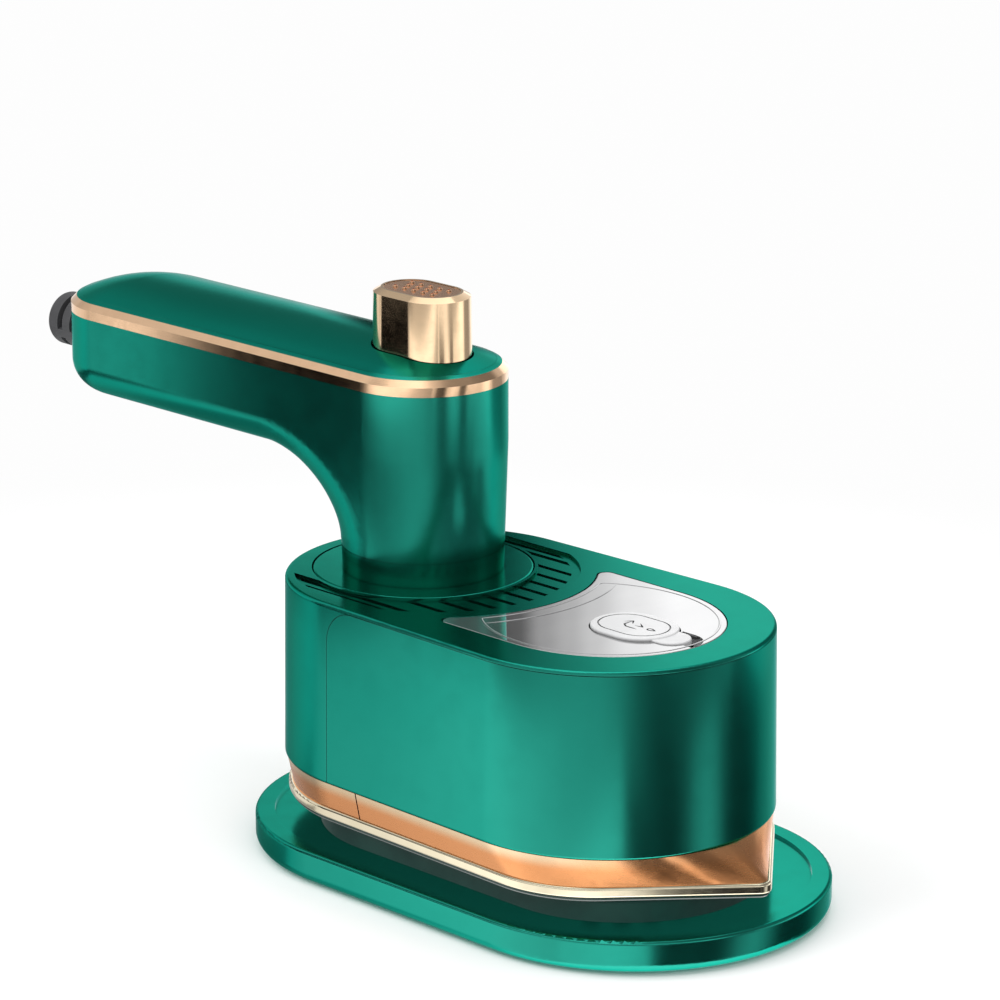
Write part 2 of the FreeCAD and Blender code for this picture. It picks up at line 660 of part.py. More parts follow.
def tank_hose():
    """Hose from the tank outlet back and up to the joint in a shallow S."""
    x_start, z_mid = 33.0, 47.55
    wire = Part.Wire([
        line((x_start, 0, Z_OUTLET), (29.0, 0, Z_OUTLET)),
        arc((29.0, 0, Z_OUTLET), (24.87, 0, 46.021), (21.0, 0, z_mid)),
        arc((21.0, 0, z_mid), (17.13, 0, 49.079), (13.0, 0, Z_INLET)),
        line((13.0, 0, Z_INLET), (10.0, 0, Z_INLET))])
    start, axis = V(x_start, 0, Z_OUTLET), V(1, 0, 0)
    return sweep(wire, 3.4, start, axis).cut(sweep(wire, 2.5, start, axis))


def steam_feed_hose():
    return tube([(0, 9.4, Z_FEED), (0, 20.6, Z_FEED), (19.0, 20.6, 47.9),
                 (*NOZZLE, 47.9), (*NOZZLE, 40.6)], [7.0, 8.0, 5.0], 3.4, 2.55)


# ------------------------------------------------------------- paired leads
LEAD_R = 1.1
Z_TERMINAL = 95.8            # leads at the terminal block


def lead_pair(path, bend_radii):
    """Two leads mirrored in the middle plane; path holds (x, distance from it, z)."""
    return [tube([(x, side * y, z) for x, y, z in path], bend_radii, LEAD_R) for side in SIDES]


def body_leads():
    return lead_pair([(-6.4, 3.7, 55.0), (-6.4, 3.7, 41.5), (-2.6, 3.2, 35.2),
                      (0.9, 4.1, 33.9)], [8.0, 4.0])


def supply_leads():
    return lead_pair([(-94.4, 1.4, Z_BOOT), (-86.0, 6.4, 96.1), (-60.5, 6.6, Z_TERMINAL),
                      (-55.6, 5.5, Z_TERMINAL)], [6.0, 6.0])


def swivel_leads():
    """Leads from the terminal block down through the neck."""
    return lead_pair([(-42.4, 5.5, Z_TERMINAL), (-36.0, 7.0, Z_TERMINAL), (-13.0, 2.2, 95.2),
                      (-12.2, 2.2, 77.5), (-9.8, 3.0, 70.5), (-6.4, 3.7, 64.0),
                      (-6.4, 3.7, 58.0)], [6.0, 5.0, 8.0, 8.0, 5.0])


# ------------------------------------------------------------------- swivel
Z_RETAINER0, Z_RETAINER1 = 55.2, 58.4
NECK_SCREWS = [polar(14.2, a) for a in (45, 135, 225, 315)]
RETAINER_SCREWS = [polar(11.4, a) for a in (0, 120, 240)]
SWIVEL_BORE = 9.0


def swivel_disc():
    disc = cylinder(0, 0, DISC_R, Z_DECK - DISC_T, Z_DECK)
    disc = disc.makeFillet(0.5, edges_at(disc, Z_DECK))
    disc = disc.fuse(cylinder(0, 0, HUB_R, Z_RETAINER1, 62.5))
    disc = disc.cut(cylinder(0, 0, SWIVEL_BORE, 50, 70))
    for x, y in NECK_SCREWS:
        # counterbores open downward, cutting into the hub's edge
        disc = disc.cut(cylinder(x, y, 1.3, 50, 70))
        disc = disc.cut(cylinder(x, y, 2.3, 50, 63.2))
    return drill(disc, RETAINER_SCREWS, 1.2, 50, 62.6).removeSplitter()


def swivel_retainer():
    ring = cylinder(0, 0, 19.0, Z_RETAINER0, Z_RETAINER1)
    ring = ring.cut(cylinder(0, 0, SWIVEL_BORE, 50, 70))
    outer = [e for e in edges_at(ring, Z_RETAINER0) if e.BoundBox.XLength > 30]
    return drill(ring.makeFillet(0.6, outer), RETAINER_SCREWS, 1.25, 50, 70)


def retainer_screws():
    return [screw(x, y, Z_RETAINER0, 62.4, radius=1.15, head_r=2.1, head_h=1.6)
            for x, y in RETAINER_SCREWS]


def neck_screws():
    return [screw(x, y, 63.15, 71.0, radius=1.2, head_r=2.2, head_h=1.15)
            for x, y in NECK_SCREWS]


# ------------------------------------------------------------- handle shell
GRIP_SCREWS = [(-36.0, 0.0), (-62.0, 0.0), (-86.0, 0.0)]
Z_SCREW_SEAT = 95.0
ELBOW_R = 18.0
# angle of the section, rounding of its lower corners (None: nearly half its width)
ELBOW_STATIONS = ((0.0, 8.0), (15.0, 8.4), (30.0, 9.8), (45.0, 12.0),
                  (60.0, 14.8), (75.0, 17.2), (90.0, None))


def neck_radius(z):
    return NECK_R0 + (GRIP_W - NECK_R0) * min(1.0, (z - Z_DECK) / (NECK_TOP - Z_DECK))


def trough(place, half_width, low, high, rounding):
    """U-shaped section; place(height, y) gives a point in its plane."""
    w, r, mid = half_width, rounding, rounding * ROUND_MID
    return [
        line(place(high, -w), place(low + r, -w)),
        arc(place(low + r, -w), place(low + mid, -w + mid), place(low, -w + r)),
        line(place(low, -w + r), place(low, w - r)),
        arc(place(low, w - r), place(low + mid, w - mid), place(low + r, w)),
        line(place(low + r, w), place(high, w)),
        line(place(high, w), place(high, -w)),
    ]


def grip_bar(half_width, z0, z1, rounding):
    """Bar from the swivel axis to the tail, with a half-round tail end."""
    x, w, r, mid = TAIL_X, half_width, rounding, rounding * ROUND_MID
    bar = face(trough(lambda z, y: (x, y, z), w, z0, z1, r)).extrude(V(-x, 0, 0))
    half = face([
        line((x, 0, z1), (x, 0, z0)),
        line((x, 0, z0), (x, -w + r, z0)),
        arc((x, -w + r, z0), (x, -w + mid, z0 + mid), (x, -w, z0 + r)),
        line((x, -w, z0 + r), (x, -w, z1)),
        line((x, -w, z1), (x, 0, z1))])
    return bar.fuse(half.revolve(V(x, 0, 0), V(0, 0, -1), 180))


def elbow_section(degrees, rounding):
    """Trough section turned about the elbow's centre; 0 is upright, 90 is level."""
    z_centre = Z_GRIP0 - ELBOW_R
    x_centre = -(neck_radius(z_centre) + ELBOW_R)
    a = math.radians(degrees)
    z_limit = Z_BAND0 - 1.5
    high = (z_limit - z_centre) / max(1e-6, math.cos(a))
    half_width = GRIP_W - 0.02
    if degrees >= 45:
        # steep sections stop short of the swivel axis and follow the neck's width
        to_axis = (-0.2 - x_centre) / math.sin(a)
        z_end = min(z_limit, z_centre + to_axis * math.cos(a))
        high = min(to_axis, high)
        half_width = neck_radius(z_end) - 0.02
    if rounding is None:
        rounding = half_width - 0.25
    low = ELBOW_R + (0.02 if degrees > 60 else 0.0)

    def place(distance, y):
        return x_centre + distance * math.sin(a), y, z_centre + distance * math.cos(a)
    return Part.Wire(trough(place, half_width, low, high, rounding))


def handle_shell():
    """Neck and grip in one hollow piece, open at the top."""
    neck = Part.makeCone(NECK_R0, GRIP_W, NECK_TOP - Z_DECK, V(0, 0, Z_DECK))
    neck = neck.fuse(cylinder(0, 0, GRIP_W, NECK_TOP, Z_BAND0))
    grip = grip_bar(GRIP_W, Z_GRIP0, Z_BAND0, GRIP_ROUND)
    elbow = Part.makeLoft([elbow_section(*station) for station in ELBOW_STATIONS], True, False)
    if elbow.Volume < 0:
        elbow.reverse()
    outside = neck.fuse(grip).fuse(elbow)

    z_open = Z_BAND0 + 1
    inside = cylinder(0, 0, GRIP_W - 3.3, 60.0, z_open).fuse(
        grip_bar(GRIP_W - H_WALL, Z_GRIP0 + H_WALL, z_open, GRIP_ROUND - 2.0))
    inside = inside.fuse(cylinder(0, 0, GRIP_W - H_WALL, NECK_TOP, z_open))
    shell = outside.cut(inside)
    # thick foot of the neck for the screws
    shell = shell.fuse(cylinder(0, 0, 16.8, Z_DECK, 72.0).cut(cylinder(0, 0, 12.0, 60, 73)))
    shell = drill(shell, NECK_SCREWS, 1.26, 60, 71.4)
    # thin shadow line a little above the deck
    core = cylinder(0, 0, neck_radius(69.7) - 0.18, 69, 70.5)
    shell = shell.cut(cylinder(0, 0, 25, 69.6, 69.85).cut(core))
    # screw wells from the underside of the grip
    shell = add_posts(shell, GRIP_SCREWS, 4.4, Z_GRIP0 + 0.5, 108.0)
    for x, y in GRIP_SCREWS:
        shell = shell.cut(cylinder(x, y, 3.0, Z_GRIP0 - 8, Z_SCREW_SEAT))
        shell = shell.cut(cylinder(x, y, CLEAR_R, 90, 110))
    # boot opening through the tail
    return shell.cut(cylinder_x(Z_BOOT, BOOT_R + 0.05, -120, -104)).removeSplitter()


# ------------------------------------------------------- band and top cover
COVER_W, CROWN = 18.1, 4.0   # half width of the cover, rise of its cushion top
BTN_A, BTN_B = 12.5, 8.7     # half length and half width of the steam button


def trim_band():
    band = racetrack(TAIL_X, 0.0, GRIP_W, Z_BAND0 + 0.03, Z_COVER)
    band = band.makeChamfer(1.4, outer_edges_at(band, Z_COVER))
    return band.cut(racetrack(TAIL_X, 0.0, 17.0, 100, 120))


def crown(half_width, z0, top):
    """Cushion top: one arc section, extruded and turned at both ends."""
    w, rise = half_width, top - z0
    section = face([line((0, -w, z0), (0, w, z0)), arc((0, w, z0), (0, 0, top), (0, -w, z0))])
    solid = section.extrude(V(TAIL_X, 0, 0))
    # a point on the arc between its top and its edge
    radius = (w * w + rise * rise) / (2 * rise)
    y_mid = w * math.sin(0.5)
    z_mid = top - radius + math.sqrt(radius * radius - y_mid * y_mid)
    for x, axis_z in ((0.0, -1), (TAIL_X, 1)):
        half = face([
            line((x, 0, z0), (x, w, z0)),
            arc((x, w, z0), (x, y_mid, z_mid), (x, 0, top)),
            line((x, 0, top), (x, 0, z0))])
        solid = solid.fuse(half.revolve(V(x, 0, 0), V(0, 0, axis_z), 180))
    return solid


def top_cover():
    """Hollow cushion cover with a locating rim, screw posts and the button opening."""
    lid = crown(COVER_W, Z_COVER + 0.02, Z_COVER + CROWN)
    lid = lid.cut(crown(COVER_W - 2.6, Z_COVER - 0.5, Z_COVER + CROWN - 2.0))
    rim = racetrack(TAIL_X, 0.0, 16.9, 110.2, Z_COVER + 0.6)
    lid = lid.fuse(rim.cut(racetrack(TAIL_X, 0.0, 15.5, 105, 115)))
    lid = add_posts(lid, GRIP_SCREWS, 3.6, 108.05, 115.0)
    lid = drill(lid, GRIP_SCREWS, CLEAR_R, 100, 112.5)
    return lid.cut(oval(0, BTN_A + 0.35, BTN_B + 0.35, 100, 130)).removeSplitter()


def handle_screws():
    return [screw(x, y, Z_SCREW_SEAT, 112.0) for x, y in GRIP_SCREWS]


# ---------------------------------------------- pump column and steam button
Z_WALL, Z_BTN = 128.0, 129.0     # top of the button's side wall, button top
Z_PISTON0, Z_PISTON1 = 85.0, 90.0
ROD_R, Z_ROD1 = 2.5, 119.9
SPRING_R, SPRING_WIRE_R, SPRING_COILS = 4.4, 0.45, 6
SPRING_Z0, SPRING_Z1 = 70.98, 84.52


def button_guide():
    """Cup around the button's flange, notched at the rear for the leads."""
    guide = cylinder(0, 0, 15.9, 97.0, 108.4).cut(oval(0, 14.2, 10.4, 98.6, 112))
    return guide.cut(cylinder(0, 0, 4.0, 90, 100)).cut(box(-17, -11.2, -6.0, 6.0, 90, 99.4))


def pump_cylinder():
    """Cylinder with a base flange that is notched at the rear for the leads."""
    pump = cylinder(0, 0, 8.6, 70.0, 96.9).fuse(cylinder(0, 0, 6.6, 68.0, 70.5))
    flange = cylinder(0, 0, 15.8, 72.05, 74.0).cut(box(-17, -6, -5.2, 5.2, 70, 76))
    pump = pump.fuse(flange)
    pump = pump.cut(cylinder(0, 0, 6.0, 70.5, 98.0)).cut(cylinder(0, 0, 1.4, 60, 75))
    return drill(pump, NECK_SCREWS, 2.0, 70, 76).removeSplitter()


def pump_valve():
    valve = cylinder(0, 0, 5.0, 60.5, 68.0).fuse(cylinder(0, 0, 3.0, 49.5, 61.0))
    return valve.cut(cylinder(0, 0, 1.2, 49, 69)).removeSplitter()


def steam_button():
    """Hollow oval cap with a flange, a top recess and a socket for the rod."""
    length, width = BTN_A - 0.25, BTN_B - 0.25
    button = oval_taper(0, BTN_A, BTN_B, 110.0, length, width, Z_WALL)
    button = button.fuse(oval_taper(0, length, width, Z_WALL, BTN_A - 2.0, BTN_B - 2.0, Z_BTN))
    button = button.fuse(oval(0, 13.9, 10.1, 108.6, 110.2))
    button = button.cut(oval(0, BTN_A - 2.6, BTN_B - 2.6, Z_BTN - 0.5, Z_BTN + 1))
    button = button.cut(oval(0, BTN_A - 2.0, BTN_B - 2.0, 107.0, 124.5))
    button = button.fuse(cylinder(0, 0, 4.2, 112.0, 125.0))
    return button.cut(cylinder(0, 0, ROD_R + 0.05, 105.0, 120.0)).removeSplitter()


def button_inlay():
    """Thin plate with three staggered rows of small domes."""
    inlay = oval(0, BTN_A - 2.7, BTN_B - 2.7, Z_BTN - 0.5, Z_BTN - 0.12)
    above = box(-20, 20, -20, 20, Z_BTN - 0.3, Z_BTN + 1)
    # y of the row, x of its first dome, number of domes
    for y, x_first, count in ((-2.6, -6.0, 5), (0.0, -4.5, 4), (2.6, -6.0, 5)):
        for i in range(count):
            dome = Part.makeSphere(0.62, V(x_first + i * 3.0, y, Z_BTN - 0.22))
            inlay = inlay.fuse(dome.common(above))
    return inlay.removeSplitter()


def pump_rod():
    rod = cylinder(0, 0, ROD_R, Z_PISTON1, Z_ROD1)
    return rod.makeChamfer(0.4, edges_at(rod, Z_ROD1))


def pump_piston():
    """Piston with an O-ring groove."""
    piston = cylinder(0, 0, 5.7, Z_PISTON0, Z_PISTON1)
    return piston.cut(cylinder(0, 0, 6.2, 86.8, 88.4).cut(cylinder(0, 0, 4.6, 86, 89)))


def piston_o_ring():
    return Part.makeTorus(5.27, 0.66, V(0, 0, 87.6))


def pump_spring():
    """Helical spring swept along a curve through twelve points per coil."""
    steps = SPRING_COILS * 12
    height = SPRING_Z1 - SPRING_Z0
    points = []
    for k in range(steps + 1):
        turn = 2 * math.pi * SPRING_COILS * k / steps
        points.append(V(SPRING_R * math.cos(turn), SPRING_R * math.sin(turn),
                        SPRING_Z0 + height * k / steps))
    coil = Part.BSplineCurve()
    coil.interpolate(points)
    axis = V(0, SPRING_R, height / SPRING_COILS / (2 * math.pi))
    return sweep(Part.Wire([coil.toShape()]), SPRING_WIRE_R, V(SPRING_R, 0, SPRING_Z0), axis)


# ---------------------------------------------------- electrical parts, boot
Z_SEAT = Z_GRIP0 + H_WALL + 0.05     # just above the grip's inner floor
CLAMP_X, CLAMP_SCREW_Y, CLAMP_TOP = -100.0, 5.1, 106.0
CORD_R = 3.0
X_BOOT_END = TAIL_X - GRIP_W - 13.0


def terminal_block():
    """Block with three passages along X, each with two holes from above."""
    top = 99.0
    block = box(-55.0, -43.0, -9.0, 9.0, Z_SEAT, top)
    upright = [e for e in block.Edges if abs(e.BoundBox.ZLength - (top - Z_SEAT)) < 0.01]
    block = block.makeFillet(0.8, upright)
    for y in (-5.5, 0.0, 5.5):
        block = block.cut(box(-60, -40, y - 1.7, y + 1.7, 94.0, 97.5))
        block = drill(block, [(-52.0, y), (-46.0, y)], 1.2, 95, 100)
    return block


def cord_clamp():
    """Two-piece clamp around the cord."""
    clamp = box(CLAMP_X - 3.0, CLAMP_X + 3.0, -7.0, 7.0, Z_SEAT, CLAMP_TOP)
    clamp = clamp.cut(cylinder_x(Z_BOOT, CORD_R + 0.05, -110, -90))
    clamp = clamp.cut(box(-108, -90, -7.1, 7.1, 100.5, 100.9))
    holes = [(CLAMP_X, side * CLAMP_SCREW_Y) for side in SIDES]
    return drill(clamp, holes, 1.15, 93.0, 107.0)


def clamp_screws():
    return [screw(CLAMP_X, side * CLAMP_SCREW_Y, CLAMP_TOP, 93.5,
                  radius=1.1, head_r=1.8, head_h=1.4) for side in SIDES]


def strain_relief_boot():
    """Sleeve with an inner flange and two ring grooves, each bridged by two webs."""
    boot = cylinder_x(Z_BOOT, BOOT_R, X_BOOT_END, -109.0)
    end = [e for e in boot.Edges
           if abs(e.BoundBox.XMin - X_BOOT_END) < 0.01 and e.BoundBox.XLength < 0.01]
    boot = boot.makeFillet(1.2, end)
    # the flange follows the inside of the grip's tail
    inset = H_WALL + 0.08
    boot = boot.fuse(cylinder_x(Z_BOOT, 8.0, -110.6, -108.6).common(
        grip_bar(GRIP_W - inset, Z_GRIP0 + inset, 108.4, GRIP_ROUND - 2.0)))
    boot = boot.cut(cylinder_x(Z_BOOT, CORD_R + 0.05, -130, -100))
    for x in (-117.0, -121.6):
        groove = cylinder_x(Z_BOOT, 8.0, x - 0.95, x + 0.95)
        groove = groove.cut(cylinder_x(Z_BOOT, 4.9, x - 2, x + 2))
        for tilt in (180 + 22, 22):
            web = box(x - 2, x + 2, 0, 12, -1.1, 1.1)
            web.rotate(V(0, 0, 0), V(1, 0, 0), tilt)
            web.translate(V(0, 0, Z_BOOT))
            groove = groove.cut(web)
        boot = boot.cut(groove)
    return boot.removeSplitter()


def power_cord():
    return cylinder_x(Z_BOOT, CORD_R, X_BOOT_END + 1.0, -95.5)


# each function gives its name to the file it fills
PIECES = (
    tray_base, tray_feet, tray_rest_pad,
    soleplate, sole_trim_lip, skirt_front, skirt_rear, heating_element,
    chamber_gasket, steam_chamber_cover, steam_inlet_nozzle, thermostat, thermal_fuse,
    sole_standoffs, heat_shield, sole_screws, shield_screws,
    front_wrap_panel, main_housing, window_lens, filler_plug,
    water_tank, rotary_water_joint, tank_hose, steam_feed_hose, body_leads,
    swivel_disc, swivel_retainer, retainer_screws, neck_screws,
    handle_shell, trim_band, top_cover, handle_screws,
    button_guide, pump_cylinder, pump_valve, steam_button, button_inlay,
    pump_rod, pump_piston, piston_o_ring, pump_spring,
    terminal_block, supply_leads, swivel_leads, cord_clamp, clamp_screws,
    strain_relief_boot, power_cord,
)
for piece in PIECES:
    save(piece.__name__, piece())
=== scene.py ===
"""A steam iron with its tray, on a white floor inside a tent of glowing walls.

The iron lies along X with its tip towards +X, Z is up and the floor is z = 0. The camera looks
from +X -Y, a little above. Added pieces and walls are worked out in millimetres; Blender gets metres.
"""
import json
import math
from functools import cache, partial

import bpy
import bmesh
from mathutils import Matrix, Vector


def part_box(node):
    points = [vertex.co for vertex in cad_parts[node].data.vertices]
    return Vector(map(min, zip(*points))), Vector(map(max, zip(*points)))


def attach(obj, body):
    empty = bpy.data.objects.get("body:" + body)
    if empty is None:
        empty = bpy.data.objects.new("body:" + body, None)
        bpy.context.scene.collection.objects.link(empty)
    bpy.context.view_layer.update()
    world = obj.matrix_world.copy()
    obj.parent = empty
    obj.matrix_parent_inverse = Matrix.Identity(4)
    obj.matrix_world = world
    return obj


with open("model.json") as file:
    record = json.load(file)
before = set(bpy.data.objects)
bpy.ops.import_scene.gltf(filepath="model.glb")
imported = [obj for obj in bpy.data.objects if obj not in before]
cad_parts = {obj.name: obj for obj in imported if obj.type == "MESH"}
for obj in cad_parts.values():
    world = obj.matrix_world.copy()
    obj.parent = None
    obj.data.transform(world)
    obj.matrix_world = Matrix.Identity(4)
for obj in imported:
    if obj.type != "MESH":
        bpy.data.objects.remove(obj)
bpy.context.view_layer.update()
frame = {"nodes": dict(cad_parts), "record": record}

MM = 0.001
PER_METRE = 1000
scene = bpy.context.scene
scene.view_settings.view_transform = "Standard"
scene.view_settings.look = "None"
scene.view_settings.exposure = 0.0
scene.view_settings.gamma = 1.0


def top_of(name):
    """Height of a CAD piece's highest point, in millimetres."""
    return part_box(name)[1].z * PER_METRE


# ---------------------------------------------------------------- shader nodes
class Net:
    """A new material and short calls that add shader nodes to it."""

    def __init__(self, name):
        self.material = bpy.data.materials.new(name)
        self.material.use_nodes = True
        self.tree = self.material.node_tree
        self.tree.nodes.clear()
        self.output = self.node("OutputMaterial")

    def put(self, socket, value):
        """Link a socket, or set a value; colours get an alpha of 1."""
        if isinstance(value, bpy.types.NodeSocket):
            self.tree.links.new(value, socket)
        else:
            socket.default_value = (*value, 1.0) if socket.type == "RGBA" else value

    def node(self, kind, inputs=None, **settings):
        node = self.tree.nodes.new("ShaderNode" + kind)
        for key, value in settings.items():
            setattr(node, key, value)
        for key, value in (inputs or {}).items():
            self.put(node.inputs[key], value)
        return node

    def math(self, operation, *values):
        return self.node("Math", dict(enumerate(values)), operation=operation).outputs[0]

    def add(self, first, second):
        return self.math("ADD", first, second)

    def multiply(self, first, second):
        return self.math("MULTIPLY", first, second)

    def invert(self, value):
        return self.math("SUBTRACT", 1.0, value)

    def scaled(self, vector, scale):
        return self.node("Mapping", {"Scale": scale, "Vector": vector}).outputs["Vector"]

    def coords(self):
        """Object coordinates in millimetres."""
        return self.scaled(self.node("TexCoord").outputs["Object"], (PER_METRE,) * 3)

    def axes(self, vector):
        return self.node("SeparateXYZ", {0: vector}).outputs

    def noise(self, vector, scale, detail=3.0, rough=0.55):
        inputs = {"Vector": vector, "Scale": scale, "Detail": detail, "Roughness": rough}
        return self.node("TexNoise", inputs).outputs["Fac"]

    def cells(self, vector, scale):
        return self.node("TexVoronoi", {"Vector": vector, "Scale": scale}).outputs["Distance"]

    def ramp(self, value, span=(0.3, 0.7), to=(0.0, 1.0), kind="SMOOTHSTEP"):
        """Map the span of a value onto another range."""
        inputs = {"Value": value, "From Min": span[0], "From Max": span[1],
                  "To Min": to[0], "To Max": to[1]}
        return self.node("MapRange", inputs, interpolation_type=kind).outputs["Result"]

    def mix(self, factor, first, second, amount=None, blend="MIX"):
        """Mix two colours; amount scales the factor down."""
        if amount is not None:
            factor = self.multiply(factor, amount)
        inputs = {0: factor, 6: first, 7: second}
        return self.node("Mix", inputs, data_type="RGBA", blend_type=blend).outputs[2]

    def mix_values(self, factor, first, second):
        return self.node("Mix", {0: factor, 2: first, 3: second}, data_type="FLOAT").outputs[0]

    def edge(self, radius):
        """1 on edges, from the difference between a rounded and the plain normal."""
        rounded = self.node("Bevel", {"Radius": radius * MM}, samples=4).outputs[0]
        plain = self.node("NewGeometry").outputs["Normal"]
        dot = self.node("VectorMath", {0: rounded, 1: plain}, operation="DOT_PRODUCT")
        return self.ramp(self.invert(dot.outputs["Value"]), span=(0.02, 0.25))

    def cavity(self, distance):
        """1 in crevices, 0 in the open, from ambient occlusion; it masks painted shade."""
        occlusion = self.node("AmbientOcclusion", {"Distance": distance * MM}, samples=4)
        return self.invert(self.ramp(occlusion.outputs["AO"], span=(0.25, 0.85)))

    def bump(self, height, depth, strength, normal=None):
        inputs = {"Strength": strength, "Distance": depth * MM, "Height": height}
        if normal is not None:
            inputs["Normal"] = normal
        return self.node("Bump", inputs).outputs["Normal"]

    def principled(self, **inputs):
        inputs = {key.replace("_", " "): value for key, value in inputs.items()}
        return self.node("BsdfPrincipled", inputs).outputs[0]

    def emission(self, strength):
        """A glow that is seen but isn't sampled as a lamp."""
        self.material.cycles.emission_sampling = "NONE"
        return self.node("Emission", {"Strength": strength}).outputs[0]

    def mix_shaders(self, factor, first, second):
        return self.node("MixShader", {0: factor, 1: first, 2: second}).outputs[0]

    def finish(self, shader):
        self.put(self.output.inputs["Surface"], shader)


def srgb(*levels):
    """8-bit sRGB levels to a linear colour."""
    values = [level / 255 for level in levels]
    return tuple(v / 12.92 if v <= 0.04045 else ((v + 0.055) / 1.055) ** 2.4 for v in values)


BUILDERS = {}


def builds(name):
    """Register the function that builds the named material."""
    def register(build):
        BUILDERS[name] = build
        return build
    return register


@cache
def material(name):
    net = Net(name)
    BUILDERS[name](net)
    return net.material


# ---------------------------------------------------------------------- metals
def metal(net, base, edge_tint, brush, rough, coat=0.0, vary=0.03):
    """Brushed metal; brush is the scale of the fine grain along each axis."""
    place = net.coords()
    fine = net.noise(net.scaled(place, brush), scale=1.0, rough=0.7)
    cloud = net.noise(place, scale=0.22)
    dim = net.mix(net.ramp(cloud, span=(0.35, 0.7)), (1.0, 1.0, 1.0), (0.955, 0.95, 0.94))
    colour = net.mix(1.0, base, dim, blend="MULTIPLY")
    # Paler edges are a painted highlight.
    colour = net.mix(net.edge(radius=0.25), colour, edge_tint, amount=0.35)
    roughness = net.add(net.ramp(cloud, span=(0.3, 0.75), to=(rough - vary, rough + vary)),
                        net.ramp(fine, to=(-0.015, 0.02)))
    net.finish(net.principled(
        Base_Color=colour, Metallic=1.0, Roughness=roughness,
        Normal=net.bump(fine, depth=0.0012, strength=0.6), Coat_Weight=coat, Coat_Roughness=0.08))


@builds("m_copper")
def copper(net):
    """Copper with a painted cream highlight along its top, weaker towards the tip."""
    axes = net.axes(net.coords())
    top = net.ramp(axes["Z"], span=(18.6, 21.6))
    tip = net.ramp(axes["X"], span=(70.0, 92.0), to=(1.0, 0.15))
    base = net.mix(net.multiply(top, tip), srgb(249, 171, 112), srgb(255, 228, 187))
    metal(net, base, srgb(255, 225, 190), brush=(0.4, 0.4, 9.0), rough=0.26, coat=0.10)


@builds("m_rose_gold")
def rose_gold(net):
    """Rose gold, lightened above a level as a painted highlight."""
    upper = net.ramp(net.axes(net.coords())["Z"], span=(113.0, 114.0))
    base = net.mix(upper, srgb(250, 208, 168), srgb(255, 221, 180))
    metal(net, base, srgb(255, 236, 205), brush=(0.35, 0.35, 8.0), rough=0.13, coat=0.10, vary=0.02)


INLAY_TOP = top_of("button_inlay")


@builds("m_inlay_gold")
def inlay_gold(net):
    """Gold, with the highest parts of the inlay darker."""
    raised = net.ramp(net.axes(net.coords())["Z"], span=(INLAY_TOP - 0.22, INLAY_TOP - 0.05))
    base = net.mix(raised, srgb(234, 184, 146), srgb(156, 78, 46))
    metal(net, base, srgb(255, 226, 190), brush=(6.0, 0.5, 0.5), rough=0.25)


PLAIN_METALS = {
    "m_pale_gold": dict(base=srgb(255, 243, 212), edge_tint=srgb(255, 252, 238),
                        brush=(0.4, 0.4, 9.0), rough=0.13, coat=0.12, vary=0.02),
    "m_steel": dict(base=(0.60, 0.60, 0.61), edge_tint=(0.8, 0.8, 0.8),
                    brush=(9.0, 9.0, 0.5), rough=0.26),
    "m_brass": dict(base=srgb(214, 176, 108), edge_tint=srgb(245, 220, 160),
                    brush=(1.0, 1.0, 9.0), rough=0.24),
}
for name, settings in PLAIN_METALS.items():
    BUILDERS[name] = partial(metal, **settings)


@builds("m_cast_aluminium")
def cast_aluminium(net):
    pits = net.noise(net.coords(), scale=1.6, detail=5.0, rough=0.7)
    net.finish(net.principled(
        Base_Color=net.mix(net.ramp(pits), (0.50, 0.50, 0.51), (0.68, 0.68, 0.69)), Metallic=1.0,
        Roughness=net.ramp(pits, to=(0.42, 0.58)), Normal=net.bump(pits, depth=0.05, strength=0.6)))


# -------------------------------------------------------- lacquer, lens and sole
@builds("m_green_body")
def green_body(net):
    """Metallic green lacquer with a painted highlight on its edges and painted shade in its crevices.
    """
    place = net.coords()
    broad = net.noise(place, scale=0.018, detail=2.0)
    cloud = net.noise(place, scale=0.16)
    grain = net.noise(place, scale=5.5, detail=2.0, rough=0.6)
    flakes = net.cells(place, scale=9.0)
    edge = net.edge(radius=0.45)
    colour = net.mix(net.ramp(broad), srgb(36, 158, 138), srgb(42, 162, 142))
    colour = net.mix(net.ramp(cloud, span=(0.42, 0.72), to=(0.0, 0.10)), colour, srgb(30, 140, 122))
    # Paler edges are a painted highlight.
    colour = net.mix(edge, colour, srgb(96, 190, 170), amount=0.30)
    # Darker crevices are painted shade.
    colour = net.mix(net.cavity(distance=1.2), colour, srgb(2, 40, 34), amount=0.55)
    roughness = net.add(net.ramp(cloud, span=(0.3, 0.75), to=(0.19, 0.22)),
                        net.ramp(grain, to=(-0.012, 0.015)))
    roughness = net.math("SUBTRACT", roughness, net.multiply(edge, 0.04))
    normal = net.bump(grain, depth=0.003, strength=0.3)
    normal = net.bump(flakes, depth=0.0015, strength=0.25, normal=normal)
    net.finish(net.principled(
        Base_Color=colour, Metallic=0.985, Roughness=roughness, Normal=normal, Coat_Weight=0.07,
        Coat_Roughness=0.20, Coat_IOR=1.45, Specular_IOR_Level=0.35,
        Specular_Tint=srgb(66, 186, 178)))


